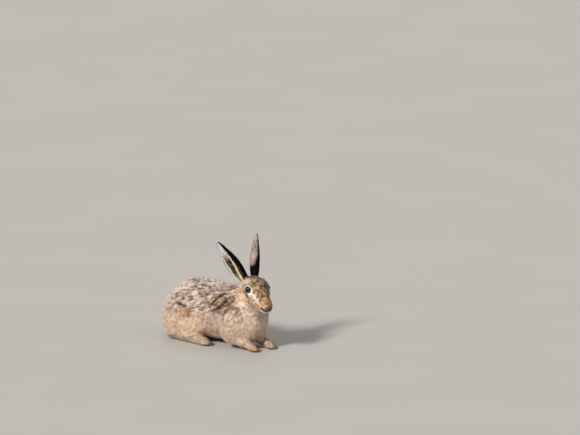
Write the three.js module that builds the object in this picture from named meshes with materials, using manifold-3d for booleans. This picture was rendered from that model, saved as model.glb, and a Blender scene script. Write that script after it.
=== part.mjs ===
// A brown hare crouched at rest, life size, as a still model.
// Millimetres. +X is forward, +Y the hare's left and +Z up, and the hare rests on z = 0.
// The surface is the outside of the coat. It is modelled whole, as soft forms that flow into
// each other, and then parted into named pieces by thin cuts.
import * as THREE from "three";
import { mergeVertices } from "three/addons/utils/BufferGeometryUtils.js";
import Module from "manifold-3d";

const wasm = await Module();
wasm.setup();

// Driving dimensions
const GAP = 0.3; // between pieces that meet
const BODY_CELL = 14.2; // size of the faces on the body
const HEAD_CELL = 5.2;
const FOOT_CELL = 6.4;
const NOSE = [176.5, -17, 102]; // tip of the nose
const HEAD_TURN = 13; // degrees, to the hare's right
const HEAD_PITCH = 33; // degrees, nose down
const FLESH_BLEND = 24; // how softly the forms of the body flow together
const NAPE_BLEND = 14;
const FACE_BLEND = 9;
const TOE_BLEND = { fore: 3.2, hind: 4 };
const TAIL_BLEND = 6;
// The ears, in the head's frame. The right one lies lower and is rolled deeper. `bow` is how far
// its middle stands back from the line from root to tip.
const EAR = {
  left: { root: [-97, 10, -1.5], tip: [-205, 54, 47.4], depth: 0.8, bow: 3.7 },
  right: { root: [-98, -10, -0.5], tip: [-200, -56, 38], depth: 1.15, bow: -0.5 },
};
const EAR_FLARE = 0.26; // how much wider the rear margin curls than the rest
// The left eye, in the head's frame, and the opening of its lids: where its middle is from the
// eye's, half its length, depth and height, and how far it turns forward in degrees.
const EYE = { centre: [-65.5, 22, 7.2], radius: 10.2, lid: 1.5 };
const OPENING = { from: [3.4, 10.8, 1.6], half: [10.2, 11, 8.8], turn: -18 };
const NOSTRIL = { half: [4.6, 1.5, 1.7], pitch: -32, turn: -38 };
const MOUTH_GROOVE = 1.2; // radius
const NOSE_GROOVE = 0.9;
const CLAW = { radius: 1.9, long: 9, sides: 6, droop: 17, out: 0.5, up: 0.2 };
const LEVEL = 0; // the floor
const MATERIAL = { // colour and roughness
  head: ["#9c7b58", 0.9],
  body: ["#8f7555", 0.9],
  ear: ["#a58f7c", 0.85],
  foot: ["#b08a60", 0.85],
  tail: ["#3a3029", 0.9],
  eye: ["#3a2210", 0.1],
};

const rad = THREE.MathUtils.degToRad;
const { cos, sin, hypot, min, max, abs, PI } = Math;

// Distance fields. Each is negative inside its form, and a function of x, y and z.

// An ellipsoid whose long axis is pitched up at the front and yawed to the left, in degrees.
function ellipsoid([cx, cy, cz], [rx, ry, rz], pitch = 0, yaw = 0) {
  const [cp, sp, cw, sw] = [cos(rad(pitch)), sin(rad(pitch)), cos(rad(yaw)), sin(rad(yaw))];
  return (px, py, pz) => {
    const [dx, dy, dz] = [px - cx, py - cy, pz - cz];
    const along = dx * cw + dy * sw;
    const x = (along * cp + dz * sp) / rx;
    const y = (dy * cw - dx * sw) / ry;
    const z = (dz * cp - along * sp) / rz;
    const size = hypot(x, y, z);
    return (size * (size - 1)) / max(hypot(x / rx, y / ry, z / rz), 1e-9);
  };
}

// A tapered bar with round ends, from point a to point b.
function bar(a, ra, b, rb) {
  const [bx, by, bz] = [b[0] - a[0], b[1] - a[1], b[2] - a[2]];
  const square = bx * bx + by * by + bz * bz;
  return (x, y, z) => {
    const [px, py, pz] = [x - a[0], y - a[1], z - a[2]];
    const t = min(max((px * bx + py * by + pz * bz) / square, 0), 1);
    return hypot(px - bx * t, py - by * t, pz - bz * t) - (ra + (rb - ra) * t);
  };
}

// The forms as one, flowing into each other over a distance of about `soft`.
function blended(forms, soft) {
  return (x, y, z) => {
    let nearest = forms[0](x, y, z);
    for (const form of forms.slice(1)) {
      const other = form(x, y, z);
      const close = max(soft - abs(nearest - other), 0) / soft;
      nearest = min(nearest, other) - (close * close * soft) / 4;
    }
    return nearest;
  };
}

// The same form on both sides of the middle plane.
const paired = (form) => (x, y, z) => form(x, abs(y), z);
const grown = (form, by) => (x, y, z) => form(x, y, z) - by;

// The head's own frame: the origin is the tip of the nose, x runs forward along the muzzle,
// y to the hare's left, and z up from the line of the muzzle.
const HEAD_FRAME = new THREE.Matrix4()
  .makeTranslation(...NOSE)
  .multiply(new THREE.Matrix4().makeRotationZ(rad(-HEAD_TURN)))
  .multiply(new THREE.Matrix4().makeRotationY(rad(HEAD_PITCH)));
const TO_HEAD = HEAD_FRAME.clone().invert();
const fromHead = (x, y, z) => new THREE.Vector3(x, y, z).applyMatrix4(HEAD_FRAME).toArray();
const toHead = (x, y, z) => new THREE.Vector3(x, y, z).applyMatrix4(TO_HEAD).toArray();

// Calls a form given in the head's frame with a point of the hare's frame.
function inHead(form) {
  const e = TO_HEAD.elements;
  return (x, y, z) => form(
    e[0] * x + e[4] * y + e[8] * z + e[12],
    e[1] * x + e[5] * y + e[9] * z + e[13],
    e[2] * x + e[6] * y + e[10] * z + e[14]);
}

// Forms of the trunk, the thighs and the shoulders
const trunk = [
  ellipsoid([56, 0, 86], [74, 50, 56], 2),
  ellipsoid([-40, 0, 88], [86, 58, 60]),
  ellipsoid([-90, 0, 82], [67, 60, 61], 10),
  ellipsoid([-20, 0, 54], [106, 46, 46]),
  ellipsoid([98, -2, 66], [42, 40, 48], 12),
];
const thigh = paired(ellipsoid([-88, 48, 58], [54, 26, 54], -8, -5));
const knee = paired(ellipsoid([-46, 52, 46], [32, 20, 36], -20));
const hock = paired(bar([-110, 50, 40], 22, [-110, 50, 24], 15));
const shoulder = paired(ellipsoid([62, 38, 78], [40, 17, 46], 30));
const upperArm = paired(bar([76, 38, 60], 20, [70, 33, 34], 16));
const forearm = paired(bar([66, 33, 32], 15, [104, 29, 16], 11));
const neckForm = bar([70, -1, 104], 40, fromHead(-90, 0, -15), 25);

// Forms of the head, in its own frame
const face = blended([
  ellipsoid([-74, 0, 2], [30, 26, 26]),
  ellipsoid([-65, 0, 10], [25, 19, 20]),
  bar([-14, 0, -2], 12.5, [-56, 0, 1], 24),
  paired(ellipsoid([-64, 15, -11], [27, 14, 21])),
  bar([-26, 0, -11], 12, [-68, 0, -14], 20),
  paired(ellipsoid([-70, 18.5, 7], [21, 9.5, 14])),
  bar([-11, 0, 2], 9.5, [-50, 0, 8.5], 17),
  paired(ellipsoid([-97, 12, 4], [13, 10, 13])),
  paired(ellipsoid([-15, 8, -5], [14, 9.6, 10.5])),
  paired(bar([-19, 6.5, -5], 10.5, [-48, 11, -8], 15)),
  ellipsoid([-20, 0, -17], [14, 9, 7.5]),
  ellipsoid([-6, 0, 1], [7, 7.5, 6.5]),
], FACE_BLEND);

const fleshOfBody = blended(
  [...trunk, thigh, knee, hock, shoulder, upperArm, forearm, neckForm], FLESH_BLEND);
const flesh = blended([fleshOfBody, inHead(face)], NAPE_BLEND);

// Feet, each with its toes. A hind foot lies flat from heel to toes.
const FOOT = {
  fore: { toes: 4, tip: [150, 27], long: 14, spread: 6.4, radius: 5.6, high: 6 },
  hind: { toes: 4, tip: [18, 57], long: 19, spread: 7, radius: 6.6, high: 7.5 },
};
const toesOf = ({ toes, tip, long, spread, radius, high }, side) =>
  Array.from({ length: toes }, (_, i) => {
    const out = i - (toes - 1) / 2;
    const y = side * tip[1] + out * spread;
    const x = tip[0] - out * out * 2.4;
    return {
      knuckle: [x - long, side * tip[1] + out * spread * 0.8, high + 2],
      end: [x - radius, y, high - 1.5],
      radius,
    };
  });
const toeForms = (foot, side) => toesOf(foot, side).map(
  ({ knuckle, end, radius }) => bar(knuckle, radius + 0.6, end, radius));

// A claw runs forward and down from under the end of each toe.
function claws(foot, side) {
  return toesOf(foot, side).map(({ end: [x, y, z], radius }) => {
    const claw = new THREE.ConeGeometry(CLAW.radius, CLAW.long, CLAW.sides)
      .rotateZ(-PI / 2).rotateY(rad(CLAW.droop));
    return solid(claw.translate(x + radius + CLAW.out, y, z + CLAW.up));
  });
}
const foreFoot = (side) => blended([
  bar([104, side * 28, 15], 11, [132, side * 27, 9.5], 10),
  ...toeForms(FOOT.fore, side),
], TOE_BLEND.fore);
const hindFoot = (side) => blended([
  bar([-116, side * 49, 14], 14.5, [-52, side * 53, 12], 13.5),
  bar([-52, side * 53, 12], 13.5, [-4, side * 57, 10.5], 12.5),
  ...toeForms(FOOT.hind, side),
], TOE_BLEND.hind);

// The tail lies down against the rump, and its tip is clear of the floor.
const tailForm = blended([
  bar([-140, 0, 70], 14, [-163, 1, 50], 15.5),
  bar([-163, 1, 50], 15.5, [-170, 3, 28], 13),
  bar([-170, 3, 28], 13, [-175, 5, 12], 7.5),
], TAIL_BLEND);

// Solids

// Turns a closed geometry into a solid that can be cut and joined.
function solid(geometry) {
  const bare = geometry.clone();
  for (const name of Object.keys(bare.attributes)) if (name !== "position") bare.deleteAttribute(name);
  const merged = mergeVertices(bare, 1e-4);
  return new wasm.Manifold(new wasm.Mesh({
    numProp: 3,
    vertProperties: new Float32Array(merged.attributes.position.array),
    triVerts: new Uint32Array(merged.index.array),
  }));
}

// The largest closed surface of a solid, without loose scraps.
function largest(made) {
  const pieces = made.decompose();
  return pieces.reduce((best, piece) => (piece.volume() > best.volume() ? piece : best));
}

function geometryOf(made) {
  const mesh = made.getMesh();
  return new THREE.BufferGeometry()
    .setAttribute("position", new THREE.BufferAttribute(new Float32Array(mesh.vertProperties), 3))
    .setIndex(new THREE.BufferAttribute(new Uint32Array(mesh.triVerts), 1));
}

// The zero surface of a form as a closed solid with faces about `cell` across: one vertex in
// each cell of a grid that the surface crosses, drawn onto the surface, and one quad around
// each edge of the grid that it crosses.
function surfaced(form, low, high, cell) {
  const count = low.map((l, i) => Math.ceil((high[i] - l) / cell) + 1);
  const stride = [1, count[0], count[0] * count[1]];
  const at = (i, axis) => low[axis] + i * cell;
  const values = new Float64Array(count[0] * count[1] * count[2]);
  for (let k = 0; k < count[2]; k++)
    for (let j = 0; j < count[1]; j++)
      for (let i = 0; i < count[0]; i++)
        values[i + j * stride[1] + k * stride[2]] = form(at(i, 0), at(j, 1), at(k, 2));
  closeDiagonals(values, stride);
  const positions = [];
  const vertexOf = new Map();
  const corners = Array.from({ length: 8 }, (_, c) => [c & 1, (c >> 1) & 1, (c >> 2) & 1]);
  for (let k = 0; k < count[2] - 1; k++)
    for (let j = 0; j < count[1] - 1; j++)
      for (let i = 0; i < count[0] - 1; i++) {
        const first = i + j * stride[1] + k * stride[2];
        const seen = corners.map(([a, b, c]) => values[first + a + b * stride[1] + c * stride[2]]);
        if (seen.every((v) => v > 0) || seen.every((v) => v <= 0)) continue;
        const crossings = [];
        corners.forEach((from, a) => corners.forEach((to, b) => {
          const steps = from.reduce((sum, v, n) => sum + abs(v - to[n]), 0);
          if (b <= a || steps !== 1 || seen[a] > 0 === seen[b] > 0) return;
          const t = seen[a] / (seen[a] - seen[b]);
          crossings.push(from.map((v, n) => v + (to[n] - v) * t));
        }));
        const middle = [0, 1, 2].map(
          (n) => crossings.reduce((sum, c) => sum + c[n], 0) / crossings.length);
        vertexOf.set(first, positions.length);
        positions.push(ontoSurface(form, middle.map((v, n) => at([i, j, k][n] + v, n))));
      }
  const index = [];
  const addQuad = (a, b, c, d) => {
    const apart = (p, q) => hypot(...positions[p].map((v, n) => v - positions[q][n]));
    if (apart(a, c) <= apart(b, d)) index.push(a, b, c, a, c, d);
    else index.push(a, b, d, b, c, d);
  };
  for (const first of vertexOf.keys())
    for (let axis = 0; axis < 3; axis++) {
      const [u, v] = [stride[(axis + 1) % 3], stride[(axis + 2) % 3]];
      const around = [first, first - u, first - u - v, first - v].map((n) => vertexOf.get(n));
      const inside = values[first] <= 0;
      if (inside === values[first + stride[axis]] <= 0 || around.includes(undefined)) continue;
      if (inside) addQuad(...around);
      else addQuad(...around.reverse());
    }
  const geometry = new THREE.BufferGeometry()
    .setAttribute("position", new THREE.Float32BufferAttribute(positions.flat(), 3))
    .setIndex(index);
  return solid(geometry);
}

// Where a face of the grid has its inside corners on one diagonal, takes in an outside one, so
// that two sheets of the surface never share an edge.
function closeDiagonals(values, stride) {
  for (let changed = true; changed; ) {
    changed = false;
    for (let n = 0; n < values.length - stride[2] - stride[1]; n++)
      for (let axis = 0; axis < 3; axis++) {
        const [u, v] = [stride[(axis + 1) % 3], stride[(axis + 2) % 3]];
        const face = [n, n + u, n + u + v, n + v];
        const [a, b, c, d] = face.map((corner) => values[corner] <= 0);
        if (a !== c || b !== d || a === b) continue;
        const outside = face.filter((corner) => values[corner] > 0);
        const taken = values[outside[0]] < values[outside[1]] ? outside[0] : outside[1];
        values[taken] = -1e-3;
        changed = true;
      }
  }
}

// A point near a form's surface, moved onto it down the slope of the field.
function ontoSurface(form, point) {
  const step = 0.05;
  let p = [...point];
  for (let turn = 0; turn < 3; turn++) {
    const here = form(...p);
    const slope = [0, 1, 2].map((n) => {
      const q = [...p];
      q[n] += step;
      return (form(...q) - here) / step;
    });
    const square = slope.reduce((sum, v) => sum + v * v, 0);
    p = p.map((v, n) => v - (here * slope[n]) / max(square, 1e-6));
  }
  return p;
}

// The point where a straight line out of a form leaves it.
function leaving(form, from, way) {
  let [inside, outside] = [0, 60];
  for (let turn = 0; turn < 40; turn++) {
    const t = (inside + outside) / 2;
    if (form(...from.map((v, n) => v + way[n] * t)) < 0) inside = t;
    else outside = t;
  }
  return from.map((v, n) => v + way[n] * inside);
}

// Everything on the side of a plane that its normal points to, as far as the hare reaches.
function beyond(point, normal) {
  const reach = 900;
  const box = new THREE.BoxGeometry(reach, reach, reach);
  const way = new THREE.Vector3(...normal).normalize();
  box.applyQuaternion(new THREE.Quaternion().setFromUnitVectors(new THREE.Vector3(0, 0, 1), way));
  const centre = new THREE.Vector3(...point).addScaledVector(way, reach / 2);
  return solid(box.translate(...centre.toArray()));
}
const aboveFloor = beyond([0, 0, LEVEL], [0, 0, 1]);

// A smooth ball stretched to an ellipsoid, in the same terms as the form of that name.
function cutter([cx, cy, cz], radii, pitch = 0, yaw = 0, grow = 0) {
  return solid(new THREE.SphereGeometry(1, 17, 10)
    .scale(...radii.map((r) => r + grow))
    .rotateY(-rad(pitch))
    .rotateZ(rad(yaw))
    .translate(cx, cy, cz));
}

// A groove's body: a thin rod along points.
function rod(points, radius) {
  const section = new THREE.Shape();
  section.absarc(0, 0, radius, 0, 2 * PI);
  return solid(new THREE.ExtrudeGeometry(section, {
    steps: 2 * points.length,
    curveSegments: 2,
    extrudePath: new THREE.CatmullRomCurve3(points.map((p) => new THREE.Vector3(...p))),
    bevelEnabled: false,
  }));
}

// Cuts between the pieces
const withers = { at: [84, 0, 120], normal: [0.62, -0.04, 0.78] };
const shifted = ({ at, normal }, by) =>
  at.map((v, n) => v + (normal[n] * by) / hypot(...normal));
const hip = (side, grow) => cutter([-84, side * 54, 52], [68, 36, 62], -6, -5 * side, grow);
const arm = (side, grow) => cutter([72, side * 48, 54], [44, 27, 66], 28, 0, grow);
const HEAD_PART = [[-53, 0, -1], [66, 54, 45]];
const headPart = (grow) => cutter(...HEAD_PART, 0, 0, grow).transform(HEAD_FRAME.elements);
const aroundHead = ellipsoid(...HEAD_PART);

// The whole body, and the head at a finer size. The body ends a little inside the head's part,
// and the head a little outside it.
const [BODY_INSIDE, HEAD_OUTSIDE] = [6, 14];
const body = surfaced(
  (x, y, z) => max(flesh(x, y, z), -BODY_INSIDE - aroundHead(...toHead(x, y, z))),
  [-190, -104, -28], [200, 104, 210], BODY_CELL).intersect(aboveFloor);
const nearHead = (grow) => surfaced(
  (x, y, z) => max(flesh(...fromHead(x, y, z)) - grow, aroundHead(x, y, z) - HEAD_OUTSIDE),
  [-140, -76, -68], [32, 76, 68], HEAD_CELL);

// The ear's leaf at a distance t from root (0) to tip (1): half its width, the angles to its rear
// and front margins from the middle of its back, and its thickness.
const LEAF = [
  [0, 8.5, 150, 150, 5], [0.12, 10.2, 148, 148, 4.6], [0.22, 12.7, 128, 136, 3.4],
  [0.34, 14.6, 112, 122, 2.5], [0.5, 15.2, 104, 114, 2.1], [0.66, 13, 99, 106, 1.9],
  [0.8, 10, 92, 98, 1.7], [0.9, 8.2, 86, 88, 1.5], [0.96, 6, 80, 80, 1.3], [1, 3, 72, 72, 0.9],
];
function leafAt(t) {
  const next = max(LEAF.findIndex(([at]) => at >= t), 1);
  const [from, to] = [LEAF[next - 1], LEAF[next]];
  const f = (t - from[0]) / (to[0] - from[0]);
  return from.map((v, n) => v + (to[n] - v) * f).slice(1);
}

// An ear: a leaf rolled into a tube at its root, open to the side and closing to its tip.
function earSolid(side) {
  const [stations, across] = [14, 9];
  const { root, tip, depth, bow } = EAR[side > 0 ? "left" : "right"];
  const from = new THREE.Vector3(...root);
  const along = new THREE.Vector3(...tip).sub(from).normalize();
  const opening = new THREE.Vector3(0, side, 0).projectOnPlane(along).normalize();
  const front = new THREE.Vector3().crossVectors(opening, along).multiplyScalar(side);
  const positions = [];
  for (let i = 0; i < stations; i++) {
    const t = i / (stations - 1);
    const [half, rear, fore, thick] = leafAt(t);
    const centre = from.clone().lerp(new THREE.Vector3(...tip), t)
      .addScaledVector(front, -bow * sin(PI * t));
    const put = (angle, radius) => {
      const flare = angle < 0 ? 1 + EAR_FLARE * (angle / rad(rear)) ** 2 : 1;
      positions.push(centre.clone()
        .addScaledVector(opening, -depth * radius * flare * cos(angle))
        .addScaledVector(front, radius * flare * sin(angle)));
    };
    const angleAt = (j) => rad(-rear + ((rear + fore) * j) / (across - 1));
    const lip = 3; // degrees, by which the middle of a margin stands out
    for (let j = 0; j < across; j++) put(angleAt(j), half);
    put(rad(fore + lip), half - thick / 2);
    for (let j = across - 1; j >= 0; j--) put(angleAt(j), half - thick);
    put(rad(-rear - lip), half - thick / 2);
  }
  const around = 2 * across + 2;
  const index = [];
  const quad = (a, b, c, d) => index.push(...(side > 0 ? [a, b, c, a, c, d] : [a, c, b, a, d, c]));
  for (let i = 0; i < stations - 1; i++)
    for (let j = 0; j < around; j++) {
      const next = (j + 1) % around;
      quad(i * around + j, i * around + next, (i + 1) * around + next, (i + 1) * around + j);
    }
  const outerOf = (j) => j;
  const innerOf = (j) => 2 * across - j;
  for (const [row, flip] of [[0, 1], [(stations - 1) * around, 0]])
    for (let j = 0; j <= across; j++) {
      const [a, b] = [j === 0 ? around - 1 : outerOf(j - 1), j === across ? across : outerOf(j)];
      const [c, d] = [j === across ? across : innerOf(j), j === 0 ? around - 1 : innerOf(j - 1)];
      const loop = [...new Set([a, b, c, d])].map((n) => n + row);
      if (flip) loop.reverse();
      if (side < 0) loop.reverse();
      for (let n = 2; n < loop.length; n++) index.push(loop[0], loop[n - 1], loop[n]);
    }
  return solid(new THREE.BufferGeometry()
    .setAttribute("position", new THREE.Float32BufferAttribute(
      positions.flatMap((p) => p.toArray()), 3))
    .setIndex(index)).transform(HEAD_FRAME.elements);
}

const hare = new THREE.Group();
const show = (name, made, [color, roughness]) => {
  const material = new THREE.MeshStandardMaterial({ color, roughness, metalness: 0 });
  const mesh = new THREE.Mesh(geometryOf(made), material);
  mesh.name = name;
  hare.add(mesh);
};
const SIDES = { left: 1, right: -1 };

// Head: the mouth, the groove under the nose, the nostrils and the eyelids are cut into it.
const skin = (x, y, z) => flesh(...fromHead(x, y, z));
const lipPoint = (turn) => leaving(skin, [-24, 0, -13.5],
  [cos(rad(turn)), sin(rad(turn)), 0.03 - 0.05 * sin(rad(abs(turn)))]);
const mouth = rod([-100, -75, -50, -25, 0, 25, 50, 75, 100].map(lipPoint), MOUTH_GROOVE);
const groove = rod([-1, -5, -9, -13].map((z) => leaving(skin, [-14, 0, z], [1, 0, 0])), NOSE_GROOVE);
let head = nearHead(0);
for (const side of Object.values(SIDES)) {
  const [x, y, z] = EYE.centre;
  const centre = [x, y * side, z];
  const nostril = leaving(skin, [-12, 3.5 * side, -1], [0.8, 0.55 * side, 0.1]);
  head = head
    .add(cutter(centre, Array(3).fill(EYE.radius + EYE.lid)))
    .subtract(cutter([x + OPENING.from[0], (y + OPENING.from[1]) * side, z + OPENING.from[2]],
      OPENING.half, 0, OPENING.turn * side))
    .subtract(cutter(centre, Array(3).fill(EYE.radius + GAP)))
    .subtract(cutter(nostril, NOSTRIL.half, NOSTRIL.pitch, NOSTRIL.turn * side));
}
head = head.subtract(mouth).subtract(groove)
  .intersect(cutter(...HEAD_PART)).transform(HEAD_FRAME.elements);
show("head", largest(head), MATERIAL.head);
const headRoom = nearHead(GAP).transform(HEAD_FRAME.elements);
for (const [name, side] of Object.entries(SIDES)) {
  const [x, y, z] = EYE.centre;
  show("eye_" + name, cutter([x, y * side, z], Array(3).fill(EYE.radius))
    .transform(HEAD_FRAME.elements), MATERIAL.eye);
  show("ear_" + name, largest(earSolid(side).subtract(headRoom)), MATERIAL.ear);
}

// Trunk, legs and feet
const neckRoom = headPart(GAP);
show("neck", largest(body.intersect(beyond(shifted(withers, GAP / 2), withers.normal))
  .subtract(neckRoom)), MATERIAL.body);
let torso = body.subtract(neckRoom)
  .subtract(beyond(shifted(withers, -GAP / 2), withers.normal));
const rooms = [];
const legs = {};
for (const [name, side] of Object.entries(SIDES)) {
  const fore = (grow) => surfaced(grown(foreFoot(side), grow),
    [84, side * 27 - 28, -14], [160, side * 27 + 28, 34], FOOT_CELL);
  const hind = (grow) => surfaced(grown(hindFoot(side), grow),
    [-140, side * 54 - 32, -14], [30, side * 54 + 32, 38], FOOT_CELL);
  const [foreRoom, hindRoom] = [fore(2 * GAP), hind(2 * GAP)];
  rooms.push(foreRoom, hindRoom);
  legs["foreleg_" + name] = torso.intersect(arm(side, 0)).subtract(foreRoom);
  legs["hindleg_" + name] = torso.intersect(hip(side, 0)).subtract(hindRoom);
  const clawed = (foot, shape) => claws(shape, side)
    .reduce((all, claw) => all.add(claw), foot).intersect(aboveFloor);
  show("forefoot_" + name, clawed(fore(0), FOOT.fore), MATERIAL.foot);
  show("hindfoot_" + name, clawed(hind(0), FOOT.hind), MATERIAL.foot);
}
for (const side of Object.values(SIDES))
  torso = torso.subtract(hip(side, GAP)).subtract(arm(side, GAP));
const tailBox = [[-196, -26, -4], [-118, 30, 92]];
rooms.push(surfaced(grown(tailForm, 2 * GAP), ...tailBox, FOOT_CELL));
for (const room of rooms) torso = torso.subtract(room);
show("torso", largest(torso), MATERIAL.body);
for (const [name, leg] of Object.entries(legs)) show(name, largest(leg), MATERIAL.body);
show("tail", surfaced(tailForm, ...tailBox, FOOT_CELL), MATERIAL.tail);

// The origin is on the floor, under the middle of the whole.
const middle = new THREE.Box3().setFromObject(hare).getCenter(new THREE.Vector3());
hare.position.set(-middle.x, -middle.y, 0);
hare.updateMatrixWorld(true);

export default hare;
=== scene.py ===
# A brown hare crouched at rest, life size: skin, coat, eyes, whiskers and claws over the solids.
# Lengths are in millimetres until an object is made, because Blender's own are metres.
# +X is forward, +Y the hare's left and +Z up.
import itertools
import math
import bmesh
import bpy
import numpy as np
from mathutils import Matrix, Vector
from mathutils.bvhtree import BVHTree


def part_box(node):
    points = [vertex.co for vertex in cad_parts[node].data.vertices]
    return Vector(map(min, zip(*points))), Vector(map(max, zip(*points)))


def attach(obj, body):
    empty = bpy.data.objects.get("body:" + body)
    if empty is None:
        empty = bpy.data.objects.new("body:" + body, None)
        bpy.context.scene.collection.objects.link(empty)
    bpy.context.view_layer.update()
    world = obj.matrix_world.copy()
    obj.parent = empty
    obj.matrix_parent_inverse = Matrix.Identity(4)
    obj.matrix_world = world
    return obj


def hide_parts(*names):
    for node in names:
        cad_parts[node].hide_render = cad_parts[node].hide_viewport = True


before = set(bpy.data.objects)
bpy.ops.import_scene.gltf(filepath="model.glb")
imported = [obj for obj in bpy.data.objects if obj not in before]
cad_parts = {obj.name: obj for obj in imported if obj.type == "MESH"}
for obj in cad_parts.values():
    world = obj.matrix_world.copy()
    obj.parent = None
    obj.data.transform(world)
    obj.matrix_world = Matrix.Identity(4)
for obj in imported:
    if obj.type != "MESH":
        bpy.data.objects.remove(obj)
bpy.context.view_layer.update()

MM = 0.001
SEED = 41
FLESH = [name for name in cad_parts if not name.startswith(("ear_", "eye_"))]

# The view
CAMERA_AZIMUTH, CAMERA_HEIGHT = 47, 10  # in degrees
FRAME_WIDE, FRAME_HIGH = 580, 435
PIXEL = 2.3  # what one pixel of the photograph covers at the hare
NOSE_PIXEL = (268.6, 310)
LENS, SENSOR = 600, 36

# The head's own frame: the origin is the tip of the nose, x runs forward along the muzzle,
# y to the hare's left and z up from the line of the muzzle.
HEAD_PITCH = math.radians(33)
EYE = np.array([-65.5, 22, 7.2])
EYE_RADIUS = 10.0
EYE_SINK = 0.6  # how much deeper the eyeball sits than the solid's
EYE_AXIS = np.array([0.38, 0.89, 0.2])
LID_OPENING = (8.6, 7.5, 7.1)  # half its length, and its height above and below the middle
# On the left side of the skin: the nostril, the cleft under it and the edge of the lip
NOSTRIL = np.array([(1, 0.4, -4.8), (0.7, 3.6, -3.8), (-1, 7.4, -3.2), (-4, 10.4, -2.8),
                    (-7, 12.2, -2), (-10, 13.6, -1.2)])
CLEFT = np.array([(0.7, 0, -5), (-0.7, 0, -8), (-2.6, 0, -11), (-3.8, 0, -13)])
LIP = np.array([(-3.8, 0, -12.9), (-4.3, 3.5, -13.1), (-6, 6.6, -13.3), (-9, 8.7, -13.4),
                (-12.1, 10, -13.5), (-17.1, 12, -13.7), (-21.7, 13.3, -13.8), (-26.6, 14.5, -13.8)])


def unit(v):
    return v / np.maximum(np.linalg.norm(v, axis=-1, keepdims=True), 1e-9)


def smooth_step(low, high, x):
    t = np.clip((x - low) / (high - low), 0, 1)
    return t * t * (3 - 2 * t)


def mixed(a, b, share):
    return a + (b - a) * share[:, None]


def from_middle(points, centre, radii):
    """How far each point is from the middle of an ellipsoid, where 1 is its surface."""
    return np.linalg.norm((points - np.array(centre)) / radii, axis=1)


def paint(code):
    """A colour written as six hexadecimal digits, as linear light."""
    values = np.array([int(code[n:n + 2], 16) for n in (0, 2, 4)]) / 255
    return np.where(values <= 0.04045, values / 12.92, ((values + 0.055) / 1.055) ** 2.4)


def noise(points, size, seed):
    """Smooth noise from -1 to 1, whose lumps are about `size` across."""
    at = points / size + 31.7 * seed
    cell = np.floor(at).astype(np.int64)
    part = at - cell
    part = part * part * (3 - 2 * part)
    total = np.zeros(len(points))
    for corner in itertools.product((0, 1), repeat=3):
        x, y, z = (cell + corner).T
        mix = (x * 73856093) ^ (y * 19349663) ^ (z * 83492791)
        mix = (mix ^ (mix >> 13)) * 1274126177 & 0x7FFFFFFF
        mix = (mix ^ (mix >> 15)) * 668265263 & 0x7FFFFFFF
        total += (mix / 0x3FFFFFFF - 1) * np.where(corner, part, 1 - part).prod(1)
    return total


def drift(points, size, seed):
    """Smooth noise in three directions."""
    return np.stack([noise(points, size, seed + n) for n in range(3)], 1)


def placed(name, data):
    """A new object in the scene."""
    made = bpy.data.objects.new(name, data)
    bpy.context.scene.collection.objects.link(made)
    return made


# The head's place, from the two eyes of the frame

def middle_of(node):
    low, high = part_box(node)
    return np.array((low + high) / 2) / MM


LEFT = unit(middle_of("eye_left") - middle_of("eye_right"))
UP = np.array([0, 0, 1])
LEVEL = np.cross(LEFT, UP)
HEAD = np.stack([
    math.cos(HEAD_PITCH) * LEVEL - math.sin(HEAD_PITCH) * UP,
    LEFT,
    math.sin(HEAD_PITCH) * LEVEL + math.cos(HEAD_PITCH) * UP,
])
NOSE = (middle_of("eye_left") + middle_of("eye_right")) / 2 - (EYE * (1, 0, 1)) @ HEAD


def to_head(points):
    return (points - NOSE) @ HEAD.T


def from_head(points):
    return np.asarray(points) @ HEAD + NOSE


def on_left(points):
    """Places on the right side as the ones opposite them."""
    return np.column_stack([points[:, 0], np.abs(points[:, 1]), points[:, 2]])


# The left eye's own frame, in the head's: along the lids, up, and out of the eye
OUT = unit(EYE_AXIS)
ALONG_LIDS = unit(np.cross(np.cross(OUT, (1, 0, 0)), OUT))
UP_LIDS = np.cross(OUT, ALONG_LIDS) * np.sign(np.cross(OUT, ALONG_LIDS)[2])
EYE_FRAME = np.stack([ALONG_LIDS, UP_LIDS, OUT])
EYE_SEAT = EYE - EYE_SINK * OUT

# The tail's own frame: from its root toward its tip, across, and out of its upper side
TAIL_ROOT, TAIL_TIP = np.array([-138, 0, 72]), np.array([-174, 4, 12])
TAIL_WAY = unit((TAIL_TIP - TAIL_ROOT).astype(float))
TAIL_UP = unit(np.cross(TAIL_WAY, (0, 1, 0)))
TAIL_FRAME = np.stack([TAIL_WAY, np.cross(TAIL_UP, TAIL_WAY), TAIL_UP * np.sign(-TAIL_UP[0])])


def places(points):
    """The points in the frames that marks are given in, those on the right as if on the left."""
    head = on_left(to_head(points))
    return {
        "hare": on_left(points),
        "head": head,
        "eye": (head - EYE_SEAT) @ EYE_FRAME.T,
        "tail": (points - TAIL_ROOT) @ TAIL_FRAME.T,
    }


def distance_to(points, path):
    """How far each point is from a path of straight pieces."""
    near = np.full(len(points), np.inf)
    for a, b in zip(path[:-1], path[1:]):
        part = np.clip((points - a) @ (b - a) / ((b - a) @ (b - a)), 0, 1)
        near = np.minimum(near, np.linalg.norm(points - a - part[:, None] * (b - a), axis=1))
    return near


def laid_on(base, marks, at):
    """The base value everywhere, with each mark laid over it in turn inside its soft ellipsoid.

    A mark is a frame, a centre, radii, the softness of its edge, its strength and its value.
    """
    count = len(next(iter(at.values())))
    made = np.broadcast_to(np.asarray(base, float), (count, len(marks[0][-1])))
    for where, centre, radii, soft, strength, value in marks:
        share = strength * smooth_step(1 + soft, 1 - soft, from_middle(at[where], centre, radii))
        made = mixed(made, np.asarray(value, float), share)
    return made


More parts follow.
